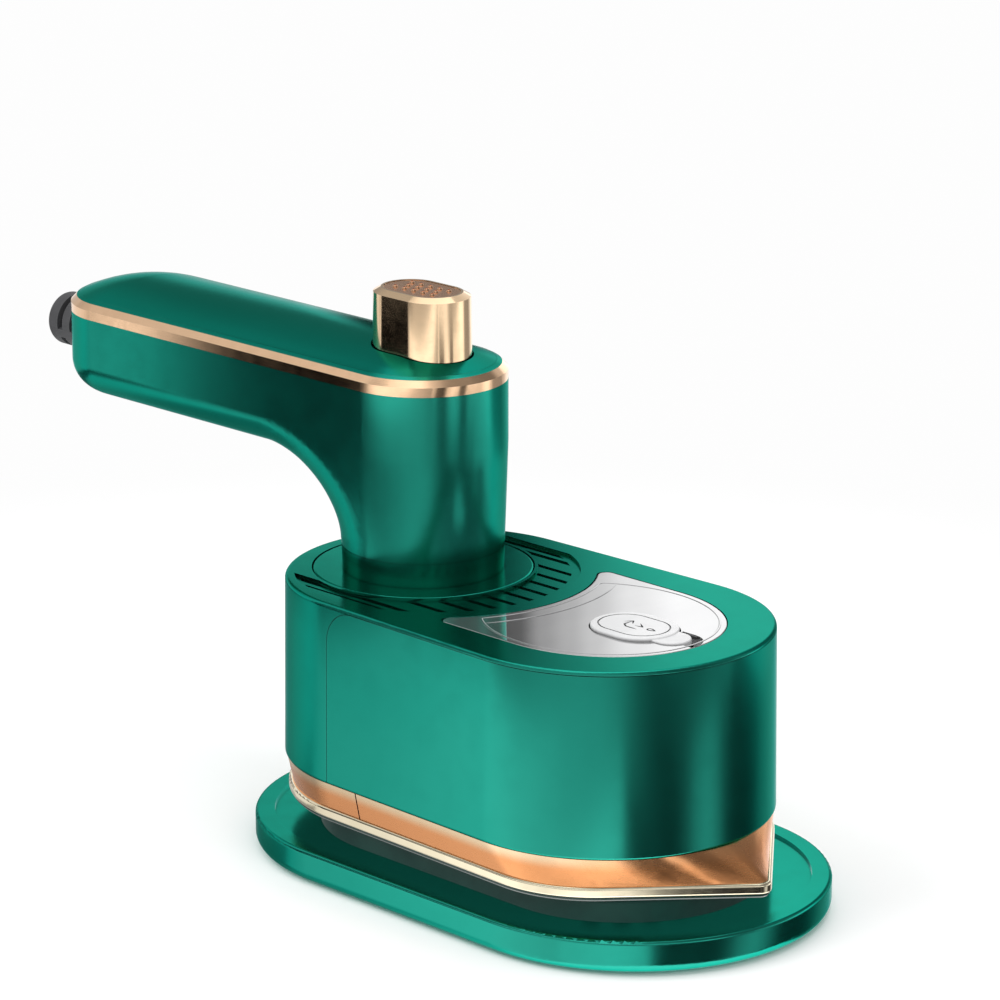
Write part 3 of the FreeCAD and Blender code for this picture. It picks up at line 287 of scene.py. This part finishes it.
@builds("m_lens")
def lens(net):
    """A smeared grey mirror with a little clear glass mixed in."""
    place = net.coords()
    smear = net.noise(net.scaled(place, (1.0, 0.35, 1.0)), scale=0.12)
    micro = net.noise(place, scale=3.0, detail=2.0)
    roughness = net.add(net.ramp(smear, span=(0.42, 0.75), to=(0.018, 0.06)),
                        net.ramp(micro, span=(0.45, 0.8), to=(0.0, 0.012)))
    mirror = net.principled(
        Base_Color=net.mix(net.ramp(smear), (0.505, 0.505, 0.512), (0.535, 0.535, 0.54)),
        Metallic=0.90, Roughness=roughness, Coat_Weight=0.6, Coat_Roughness=0.02,
        Normal=net.bump(smear, depth=0.003, strength=0.25))
    glass = net.principled(
        Base_Color=(0.86, 0.88, 0.89), Transmission_Weight=1.0, IOR=1.46, Roughness=0.05)
    glass_share = 0.10
    net.finish(net.mix_shaders(glass_share, mirror, glass))


@builds("m_coated_sole")
def coated_sole(net):
    """Dark green coating with pale specks."""
    place = net.coords()
    specks = net.cells(place, scale=2.6)
    fine = net.noise(place, scale=3.5, detail=4.0, rough=0.7)
    colour = net.mix(net.ramp(specks, span=(0.05, 0.16)), srgb(150, 175, 165), srgb(14, 52, 44))
    colour = net.mix(net.ramp(fine, span=(0.35, 0.7), to=(0.0, 0.35)), colour, srgb(8, 36, 30))
    # Paler edges are a painted highlight.
    colour = net.mix(net.edge(radius=0.3), colour, srgb(120, 130, 118), amount=0.35)
    net.finish(net.principled(
        Base_Color=colour, Metallic=0.25, Roughness=net.ramp(fine, to=(0.24, 0.36)),
        Normal=net.bump(fine, depth=0.006, strength=0.5), Coat_Weight=0.4, Coat_Roughness=0.12))


# ---------------------------------------------------------- plastics and rubbers
@builds("m_tank")
def tank(net):
    """Cloudy plastic, painted black high up near the tip as shade in the finger gap."""
    place = net.coords()
    axes = net.axes(place)
    # Painted shade: black where the finger gap shows the tank.
    well_shade = net.multiply(net.ramp(axes["X"], span=(73.5, 75.0)),
                        net.ramp(axes["Z"], span=(55.0, 58.0)))
    cloud = net.noise(place, scale=0.09)
    fine = net.noise(place, scale=2.0, rough=0.65)
    colour = net.mix(net.ramp(cloud, span=(0.35, 0.7)), (0.62, 0.64, 0.65), (0.55, 0.58, 0.59))
    net.finish(net.principled(
        Base_Color=net.mix(well_shade, colour, (0.008, 0.009, 0.009)),
        Roughness=net.ramp(fine, to=(0.26, 0.36)),
        Normal=net.bump(fine, depth=0.004, strength=0.5), Specular_IOR_Level=0.4,
        Transmission_Weight=net.multiply(net.invert(well_shade), 0.3)))


def soft(net, base, dark, rough, grain, bump, edge_tint=None, spec=0.35, cavity=None, **extra):
    """Mottled plastic or rubber; grain is a noise scale, bump its depth."""
    place = net.coords()
    cloud = net.noise(place, scale=0.09)
    fine = net.noise(place, scale=grain, rough=0.65)
    colour = net.mix(net.ramp(cloud, span=(0.35, 0.7)), base, dark)
    # Paler edges are a painted highlight.
    if edge_tint:
        colour = net.mix(net.edge(radius=0.3), colour, edge_tint, amount=0.4)
    # Crevices are darkened with painted shade.
    if cavity:
        colour = net.mix(net.cavity(distance=0.7), colour, cavity)
    roughness = net.add(net.ramp(cloud, span=(0.3, 0.75), to=(rough - 0.05, rough + 0.06)),
                        net.ramp(fine, to=(-0.03, 0.03)))
    net.finish(net.principled(
        Base_Color=colour, Metallic=0.0, Roughness=roughness,
        Normal=net.bump(fine, depth=bump, strength=0.5), Specular_IOR_Level=spec, **extra))


SOFT = {
    # The white silicone gets painted shade in its crevices.
    "m_silicone_white": dict(base=(0.60, 0.60, 0.605), dark=(0.56, 0.56, 0.565), rough=0.34,
                             grain=3.0, bump=0.006, edge_tint=(0.66, 0.66, 0.66),
                             cavity=(0.06, 0.06, 0.065)),
    "m_silicone_green": dict(base=srgb(4, 62, 54), dark=srgb(3, 52, 46), rough=0.55,
                             grain=3.5, bump=0.01, edge_tint=srgb(20, 110, 96)),
    "m_rubber_black": dict(base=srgb(74, 74, 76), dark=srgb(62, 62, 64), rough=0.5,
                           grain=3.0, bump=0.012, edge_tint=srgb(120, 120, 122), spec=0.4),
    "m_icon_grey": dict(base=srgb(24, 25, 26), dark=srgb(20, 21, 22), rough=0.5,
                        grain=3.0, bump=0.004, spec=0.1),
    "m_inner_plastic": dict(base=(0.26, 0.27, 0.28), dark=(0.21, 0.22, 0.23), rough=0.45,
                            grain=3.0, bump=0.012, edge_tint=(0.4, 0.4, 0.4)),
    "m_heat_plastic": dict(base=(0.05, 0.05, 0.052), dark=(0.035, 0.035, 0.037), rough=0.55,
                           grain=2.0, bump=0.02, edge_tint=(0.14, 0.14, 0.14)),
    "m_hose": dict(base=(0.78, 0.76, 0.72), dark=(0.70, 0.68, 0.64), rough=0.38,
                   grain=2.0, bump=0.006, spec=0.4, Transmission_Weight=0.2),
    "m_cable": dict(base=(0.035, 0.035, 0.036), dark=(0.028, 0.028, 0.03), rough=0.42,
                    grain=2.5, bump=0.01, edge_tint=(0.1, 0.1, 0.1)),
    "m_wire": dict(base=srgb(176, 40, 30), dark=srgb(150, 32, 24), rough=0.4,
                   grain=3.0, bump=0.006),
}
for name, settings in SOFT.items():
    BUILDERS[name] = partial(soft, **settings)


# ------------------------------------------------------------------- CAD pieces
# A slot's material is "m_" and the slot's name, but for these slots and this one piece.
SLOT_MATERIAL = {"tank_plastic": "m_tank", "hose_silicone": "m_hose"}
PIECE_MATERIAL = {"button_inlay": "m_inlay_gold"}
UNREFLECTED = ("tray_base", "tray_rest_pad", "tray_feet", "sole_trim_lip")


def shade(piece):
    """Smooth shading, split at the sharp edges."""
    piece.data.polygons.foreach_set("use_smooth", [True] * len(piece.data.polygons))
    weld = piece.modifiers.new("weld", "WELD")
    weld.merge_threshold = 2e-6
    split = piece.modifiers.new("split", "EDGE_SPLIT")
    split.split_angle = math.radians(28.0)
    split.use_edge_sharp = False
    normals = piece.modifiers.new("normals", "WEIGHTED_NORMAL")
    normals.keep_sharp = True
    normals.weight = 60


slot_of = {part["node"]: part["material_slot"] for part in frame["record"]["subparts"]}
for name in UNREFLECTED:
    frame["nodes"][name].visible_glossy = False
for name, piece in frame["nodes"].items():
    slot = slot_of[name]
    chosen = PIECE_MATERIAL.get(name) or SLOT_MATERIAL.get(slot, "m_" + slot)
    piece.data.materials.clear()
    piece.data.materials.append(material(chosen))
    piece.data.polygons.foreach_set("material_index", [0] * len(piece.data.polygons))
    shade(piece)


# ----------------------------------------------------------------- raised beads
def bead(path, z, width, height, closed=False, sink=0.05):
    """Vertices and faces of a low rounded bead along an XY path; sink is how far it goes below z."""
    arch = [math.pi * k / 8 for k in range(9)]
    profile = [(-0.5 * width, -sink)]
    profile += [(-0.5 * width * math.cos(angle), height * math.sin(angle)) for angle in arch]
    profile += [(0.5 * width, -sink)]
    count, sides = len(path), len(profile)
    verts, faces = [], []
    for i, (x, y) in enumerate(path):
        before = path[(i - 1) % count] if closed or i > 0 else path[i]
        after = path[(i + 1) % count] if closed or i < count - 1 else path[i]
        along = Vector((after[0] - before[0], after[1] - before[1])).normalized()
        size = 1.0
        if not closed:  # open ends taper
            size = max(min(1.0, min(i, count - 1 - i) / 14.0) ** 0.5, 0.05)
        for across, up in profile:
            verts.append(((x - along.y * across * size) * MM, (y + along.x * across * size) * MM,
                          (z + (up * size if up > 0 else up)) * MM))
    for i in range(count if closed else count - 1):
        j = (i + 1) % count
        for k in range(sides):
            m = (k + 1) % sides
            faces.append((i * sides + k, j * sides + k, j * sides + m, i * sides + m))
    if not closed:
        faces.append(tuple(range(sides - 1, -1, -1)))
        faces.append(tuple((count - 1) * sides + k for k in range(sides)))
    return verts, faces


def add_piece(name, shape, material_name, body):
    verts, faces = shape
    mesh = bpy.data.meshes.new(name)
    mesh.from_pydata(verts, [], faces)
    mesh.update()
    edit = bmesh.new()
    edit.from_mesh(mesh)
    bmesh.ops.remove_doubles(edit, verts=edit.verts, dist=1e-7)
    bmesh.ops.recalc_face_normals(edit, faces=edit.faces)
    edit.to_mesh(mesh)
    edit.free()
    mesh.polygons.foreach_set("use_smooth", [True] * len(mesh.polygons))
    piece = bpy.data.objects.new(name, mesh)
    scene.collection.objects.link(piece)
    mesh.materials.append(material(material_name))
    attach(piece, body)


def between(start, end, share):
    return (start[0] + (end[0] - start[0]) * share, start[1] + (end[1] - start[1]) * share)


def round_corners(points):
    """Cut the corners of a closed loop, three times over."""
    for _ in range(3):
        cut = []
        for i, (x, y) in enumerate(points):
            next_x, next_y = points[(i + 1) % len(points)]
            cut.append((x * 0.75 + next_x * 0.25, y * 0.75 + next_y * 0.25))
            cut.append((x * 0.25 + next_x * 0.75, y * 0.25 + next_y * 0.75))
        points = cut
    return points


def resample(points, count):
    """Evenly spaced points on a closed polyline."""
    run = [0.0]
    for i, point in enumerate(points):
        run.append(run[-1] + math.dist(point, points[(i + 1) % len(points)]))
    spaced, k = [], 0
    for i in range(count):
        target = run[-1] * i / count
        while run[k + 1] < target:
            k += 1
        share = (target - run[k]) / max(run[k + 1] - run[k], 1e-9)
        spaced.append(between(points[k % len(points)], points[(k + 1) % len(points)], share))
    return spaced


# The lens is an ellipse with a round bite out of its -X end.
LENS_X, LENS_HALF_LENGTH, LENS_HALF_WIDTH = 56.2, 29.5, 26.7
BITE_X, BITE_RADIUS = 5.5, 35.8
RIM_INSET = 1.75
ARC_RADIUS = 41.4
ARC_HALF_ANGLE = 30.5
LENS_TOP = top_of("window_lens")


def lens_loop(inset):
    """The lens outline, set in."""
    ellipse = []
    for k in range(721):
        angle = -math.pi + 2 * math.pi * k / 720
        out_x, out_y = math.cos(angle) / LENS_HALF_LENGTH, math.sin(angle) / LENS_HALF_WIDTH
        length = math.hypot(out_x, out_y)
        x = LENS_X + LENS_HALF_LENGTH * math.cos(angle) - inset * out_x / length
        y = LENS_HALF_WIDTH * math.sin(angle) - inset * out_y / length
        if math.hypot(x - BITE_X, y) > BITE_RADIUS + inset:
            ellipse.append((x, y))
    # Start the loop just after the widest gap, which the bite's arc then closes.
    gap = max(range(len(ellipse)),
              key=lambda i: math.dist(ellipse[i], ellipse[(i + 1) % len(ellipse)]))
    ellipse = ellipse[gap + 1:] + ellipse[:gap + 1]
    start, end = [math.atan2(y, x - BITE_X) for x, y in (ellipse[-1], ellipse[0])]
    angles = [start + (end - start) * i / 60 for i in range(1, 60)]
    bite = arc(BITE_RADIUS + inset, angles)
    return resample(round_corners(resample(ellipse + bite, 90)), 360)


def arc(radius, angles):
    """Points round the bite's centre."""
    return [(BITE_X + radius * math.cos(angle), radius * math.sin(angle)) for angle in angles]


rim = bead(lens_loop(RIM_INSET), LENS_TOP, width=0.55, height=0.10, closed=True)
add_piece("lens_rim_bead", rim, "m_lens", "iron")
arc_angles = [math.radians(-ARC_HALF_ANGLE + 2 * ARC_HALF_ANGLE * i / 120) for i in range(121)]
arc_bead = bead(arc(ARC_RADIUS, arc_angles), LENS_TOP, width=0.42, height=0.12)
add_piece("lens_arc_bead", arc_bead, "m_lens", "iron")

# A drop, a bent arrow and a bent bar, raised on the plug.
PLUG_TOP = top_of("filler_plug")
DROP_X, DROP_HALF_LENGTH, DROP_SWELL = 71.9, 1.05, 0.75
ICON_STEP = 0.12
# name, line width, (x, y) points
ICON_LINES = [
    ("icon_arrow_stem", 0.40, [(69.3, -1.9), (66.0, -1.9), (64.6, -0.9), (64.6, 1.5)]),
    ("icon_arrow_head", 0.40, [(63.3, 0.4), (64.6, 2.0), (65.9, 0.4)]),
    ("icon_bar", 0.38, [(67.0, 1.7), (69.2, 0.1), (67.0, -0.2)]),
]


def icon(name, path, width, closed=False):
    shape = bead(path, PLUG_TOP, width, height=0.05, closed=closed, sink=0.03)
    add_piece(name, shape, "m_icon_grey", "plug")


def subdivide(points):
    """Short steps along an open polyline."""
    path = []
    for start, end in zip(points, points[1:]):
        steps = max(2, int(math.dist(start, end) / ICON_STEP))
        path += [between(start, end, i / steps) for i in range(steps)]
    return path + [points[-1]]


turns = [2 * math.pi * i / 64 for i in range(64)]
drop = [(DROP_X + DROP_HALF_LENGTH * math.cos(turn),
         DROP_SWELL * math.sin(turn) * math.sin(turn / 2) ** 1.2) for turn in turns]
icon("icon_drop", resample(drop, 64), 0.36, closed=True)
for name, width, points in ICON_LINES:
    icon(name, subdivide(points), width)


# ------------------------------------------------------------------------ floor
def plane(name, corners, surface):
    mesh = bpy.data.meshes.new(name)
    mesh.from_pydata(corners, [], [(0, 1, 2, 3)])
    sheet = bpy.data.objects.new(name, mesh)
    scene.collection.objects.link(sheet)
    mesh.materials.append(surface)
    return sheet


@builds("m_floor")
def floor_surface(net):
    """White paper that fades into an even glow away from the origin."""
    place = net.coords()
    cloud = net.noise(place, scale=0.02)
    paper = net.principled(
        Base_Color=net.mix(net.ramp(cloud), (0.93, 0.93, 0.93), (0.915, 0.915, 0.915)),
        Roughness=0.6, Specular_IOR_Level=0.2)
    x, y, _ = net.axes(place)
    distance = net.math("SQRT", net.add(net.multiply(x, x), net.multiply(y, y)))
    fade = net.ramp(distance, span=(110.0, 330.0))
    net.finish(net.mix_shaders(fade, paper, net.emission(strength=0.985)))


HALF = 6.0  # half the floor's side, in metres
floor = plane("studio_floor", [(-HALF, -HALF, 0), (HALF, -HALF, 0), (HALF, HALF, 0), (-HALF, HALF, 0)],
              material("m_floor"))
floor.visible_glossy = False

# ------------------------------------------------------------------------- tent
# A box of glowing walls that only reflections see.
TENT = {"X": (-260.0, 260.0), "Y": (-160.0, 210.0), "Z": (-160.0, 420.0)}
STRENGTH_SCALE = 4  # keeps the colour ramp's values under 1

# Runs of stops that several bands share.
FRONT_START = [(-260, 0.7), (-125, 0.80), (-105, 0.92), (-95, 1.02), (-78, 1.10), (-60, 1.20),
               (-20, 1.16)]
FRONT_END = [(45, 0.98), (80, 0.88), (122, 0.74), (173, 0.66), (260, 0.45)]
RIGHT_END = [(-38, 0.04), (-10, 0.04), (14, 0.14), (42, 0.48), (70, 0.62), (95, 0.52),
             (118, 0.30), (140, 0.12), (165, 0.04), (210, 0.03)]

# Each wall: the axis it varies along, then its bands from the lowest up. A band is the heights
# over which it takes over from the one below, and its stops: (place on the axis, strength).
WALLS = {
    "tent_front": ("X", [
        (None, FRONT_START + [(45, 1.0), (80, 0.92), (100, 1.15), (173, 1.25), (260, 1.1)]),
        ((-40, -18), FRONT_START + FRONT_END),
        ((-8, 4), [(-260, 0.7), (-225, 0.6), (-200, 0.12), (-175, 0.02), (-142, 0.05),
                   (-118, 0.85), (-95, 1.02), (-60, 1.20), (-20, 1.16)] + FRONT_END),
        ((10, 18), [(-260, 1.2), (-245, 1.05), (-232, 0.62), (-220, 0.18), (-207, 0.01),
                    (-195, 0.0), (-152, 0.0), (-140, 0.10), (-70, 0.20), (-18, 0.30), (30, 0.42),
                    (84, 0.53), (140, 0.56), (260, 0.40)]),
        ((65, 68), [(-260, 0.7), (-235, 0.3), (-215, 0.05), (-198, 0.0), (-122, 0.0), (-104, 0.7),
                    (-76, 1.2), (-30, 1.46), (150, 1.46), (235, 1.2), (260, 1.0)]),
        ((81, 89), [(-260, 0.6), (-205, 0.2), (-100, 0.2), (-20, 0.5), (260, 0.6)])]),
    "tent_right": ("Y", [
        (None, [(-160, 1.15), (-145, 1.0), (-137, 0.10), (-120, 0.02), (-97, 0.02),
                (-62, 0.06)] + RIGHT_END),
        ((-34, -24), [(-160, 0.40), (-120, 0.31), (-95, 0.22), (-62, 0.09)] + RIGHT_END),
        ((-12, -2), [(-160, 0.42), (-132, 0.36), (-92, 0.17), (-50, 0.08), (30, 0.14), (80, 0.20),
                     (118, 0.26), (150, 0.60), (210, 0.80)]),
        ((33, 37), [(-160, 1.05), (-142, 0.9), (-128, 0.05), (-72, 0.05), (-52, 0.9), (-16, 1.25),
                    (12, 1.0), (28, 0.12), (58, 0.12), (78, 1.1), (210, 1.3)]),
        ((60, 66), [(-160, 1.0), (-130, 1.2), (-30, 1.1), (20, 0.5), (210, 0.5)]),
        ((90, 120), [(-160, 0.6), (-60, 0.30), (20, 0.12), (210, 0.2)])]),
    "tent_back": ("X", [
        (None, [(-260, 0.7), (-60, 1.1), (-10, 1.15), (30, 1.0), (65, 0.76), (100, 0.52),
                (130, 0.28), (160, 0.10), (200, 0.03), (260, 0.03)]),
        ((-12, -2), [(-260, 0.6), (-100, 0.9), (51, 0.9), (126, 0.85), (231, 0.78), (260, 0.75)]),
        ((29, 36), [(-260, 0.8), (-60, 1.2), (5, 0.6), (22, 0.32), (112, 0.34), (135, 0.8),
                    (160, 1.4), (260, 1.4)]),
        ((80, 100), [(-260, 1.5), (-247, 1.1), (-240, 0.35), (-234, 0.03), (-195, 0.02),
                     (-180, 0.10), (-170, 0.46), (-159, 0.66), (-149, 0.90), (-134, 1.30),
                     (-114, 1.6), (-40, 1.5), (5, 0.5), (25, 0.2), (120, 0.2), (190, 0.4),
                     (260, 0.4)]),
        ((172, 186), [(-260, 0.31), (-205, 0.31), (-185, 0.36), (-160, 0.6), (-120, 0.9),
                      (0, 0.6), (40, 0.2), (260, 0.3)])]),
    "tent_left": ("Y", [
        (None, [(-160, 0.22), (-55, 0.30), (40, 0.4), (120, 0.5), (210, 0.5)]),
        ((-76, -62), [(-160, 0.82), (-55, 0.77), (40, 0.65), (120, 0.6), (210, 0.5)]),
        ((-14, -4), [(-160, 0.05), (-40, 0.12), (40, 0.25), (120, 0.4), (210, 0.4)]),
        ((24, 32), [(-160, 0.60), (-80, 0.85), (60, 1.0), (110, 0.9), (210, 0.8)]),
        ((90, 110), [(-160, 0.8), (40, 0.6), (120, 1.0), (210, 1.15)]),
        ((163, 176), [(-160, 0.8), (40, 0.45), (130, 0.31), (210, 0.31)])]),
    "tent_top": ("X", [
        (None, [(-260, 0.8), (-120, 1.2), (60, 1.5), (110, 0.7), (135, 0.28), (255, 0.28),
                (260, 0.4)])]),
    "tent_bottom": ("X", [
        (None, [(-260, 0.38), (-140, 0.6), (-80, 1.1), (-20, 1.5), (60, 1.75), (150, 1.9),
                (260, 1.9)])]),
}


def band_strength(net, place, limits, stops):
    """Emission strength along one axis, through the stops."""
    low, high = limits
    ramp = net.node("ValToRGB", {0: net.ramp(place, span=limits, kind="LINEAR")})
    ramp.color_ramp.interpolation = "EASE"
    elements = ramp.color_ramp.elements
    elements.remove(elements[-1])
    for i, (stop, strength) in enumerate(stops):
        position = (stop - low) / (high - low)
        element = elements.new(position) if i else elements[0]
        element.position = position
        element.color = (strength / STRENGTH_SCALE,) * 3 + (1,)
    grey = net.node("RGBToBW", {0: ramp.outputs[0]}).outputs[0]
    return net.multiply(grey, STRENGTH_SCALE)


def wall_surface(name, axis, bands):
    net = Net(name)
    axes = net.axes(net.node("NewGeometry").outputs["Position"])
    place = net.multiply(axes[axis], PER_METRE)
    strength = band_strength(net, place, TENT[axis], bands[0][1])
    if len(bands) > 1:
        height = net.multiply(axes["Z"], PER_METRE)
    for heights, stops in bands[1:]:
        upper = band_strength(net, place, TENT[axis], stops)
        strength = net.mix_values(net.ramp(height, span=heights), strength, upper)
    net.finish(net.emission(strength))
    return net.material


def wall_corners():
    """Corners of the front, right, back, left, top and bottom walls."""
    (left, right), (front, back), (low, high) = TENT.values()
    plan = [(left, front), (right, front), (right, back), (left, back)]
    sides = [[(*start, low), (*end, low), (*end, high), (*start, high)]
             for start, end in zip(plan, plan[1:] + plan[:1])]
    return sides + [[(*corner, z) for corner in plan] for z in (high, low)]


for (name, (axis, bands)), corners in zip(WALLS.items(), wall_corners()):
    wall = plane(name, [tuple(c * MM for c in corner) for corner in corners],
                 wall_surface(name, axis, bands))
    for ray in ("camera", "diffuse", "shadow", "transmission", "volume_scatter"):
        setattr(wall, "visible_" + ray, False)

# ----------------------------------------------------------------------- lights
LIGHT_TARGET = Vector((0, 0, 0.05))
# name, place and side of the square in metres, watts
LIGHTS = [
    ("key_soft", (-0.55, -0.75, 0.95), 0.9, 9.0),
    ("fill_soft", (0.9, -0.35, 0.6), 0.8, 3.0),
    ("top_soft", (0.0, 0.25, 1.15), 1.1, 7.0),
]
WORLD_STRENGTH = 0.62


def aim(thing, direction):
    thing.rotation_mode = "QUATERNION"
    thing.rotation_quaternion = direction.to_track_quat("-Z", "Y")


for name, place, side, watts in LIGHTS:
    lamp = bpy.data.lights.new(name, "AREA")
    lamp.shape = "RECTANGLE"
    lamp.size = lamp.size_y = side
    lamp.energy = watts
    light = bpy.data.objects.new(name, lamp)
    scene.collection.objects.link(light)
    light.location = place
    aim(light, LIGHT_TARGET - Vector(place))
    light.visible_glossy = False

world = bpy.data.worlds.new("studio")
scene.world = world
world.use_nodes = True
world.cycles_visibility.glossy = False
sky = world.node_tree
sky.nodes.clear()
background = sky.nodes.new("ShaderNodeBackground")
background.inputs["Color"].default_value = (1, 1, 1, 1)
background.inputs["Strength"].default_value = WORLD_STRENGTH
sky_output = sky.nodes.new("ShaderNodeOutputWorld")
sky.links.new(background.outputs[0], sky_output.inputs[0])

# ----------------------------------------------------------------------- camera
AZIMUTH = math.radians(45.362)  # from -Y towards +X
ELEVATION = math.radians(15.484)
DISTANCE = 1.000363  # metres
TARGET = Vector((24.966, 0.0, 93.87)) * MM
FOCAL_LENGTH, ZOOM = 173.45, 0.93

camera_data = bpy.data.cameras.new("camera")
camera = bpy.data.objects.new("camera", camera_data)
scene.collection.objects.link(camera)
scene.camera = camera
to_camera = Vector((math.sin(AZIMUTH) * math.cos(ELEVATION),
                    -math.cos(AZIMUTH) * math.cos(ELEVATION), math.sin(ELEVATION)))
camera.location = TARGET + to_camera * DISTANCE
aim(camera, -to_camera)
camera_data.sensor_width = 36.0
camera_data.lens = FOCAL_LENGTH * ZOOM
camera_data.shift_y = -0.040
camera_data.clip_start, camera_data.clip_end = 0.05, 20.0
